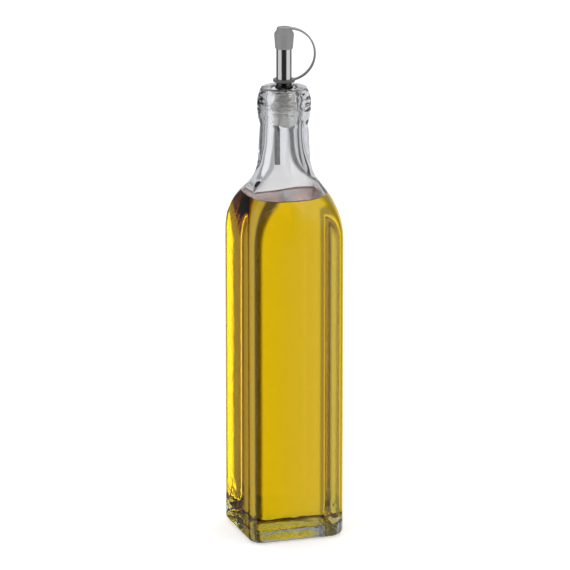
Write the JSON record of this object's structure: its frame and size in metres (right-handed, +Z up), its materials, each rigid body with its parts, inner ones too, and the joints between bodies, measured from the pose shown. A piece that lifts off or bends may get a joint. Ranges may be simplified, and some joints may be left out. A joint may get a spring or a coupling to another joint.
{
  "type": "glass oil bottle with pourer",
  "caption": "Tall square glass bottle of yellow cooking oil with a round neck, a ribbed stopper, a steel pouring spout and a tethered plastic cap.",
  "frame": {"origin": "middle of the base, on the surface the bottle stands on", "axes": "+Z up along the bottle's axis; X and Y square to its flat sides, -Y the front face and +X about where the cap's strap loops out"},
  "size_m": [0.059, 0.059, 0.304],
  "materials": {
    "clear_glass": "polished clear glass",
    "cooking_oil": "clear golden yellow liquid",
    "stopper_plastic": "translucent moulded polyethylene",
    "polished_steel": "polished stainless steel",
    "vent_steel": "drawn stainless steel",
    "cap_plastic": "translucent grey moulded polyethylene"
  },
  "bodies": {
    "root": {"bottle": "clear_glass", "oil": "cooking_oil", "stopper": "stopper_plastic", "spout": "polished_steel", "vent_tube": "vent_steel", "cap": "cap_plastic"}
  },
  "joints": []
}
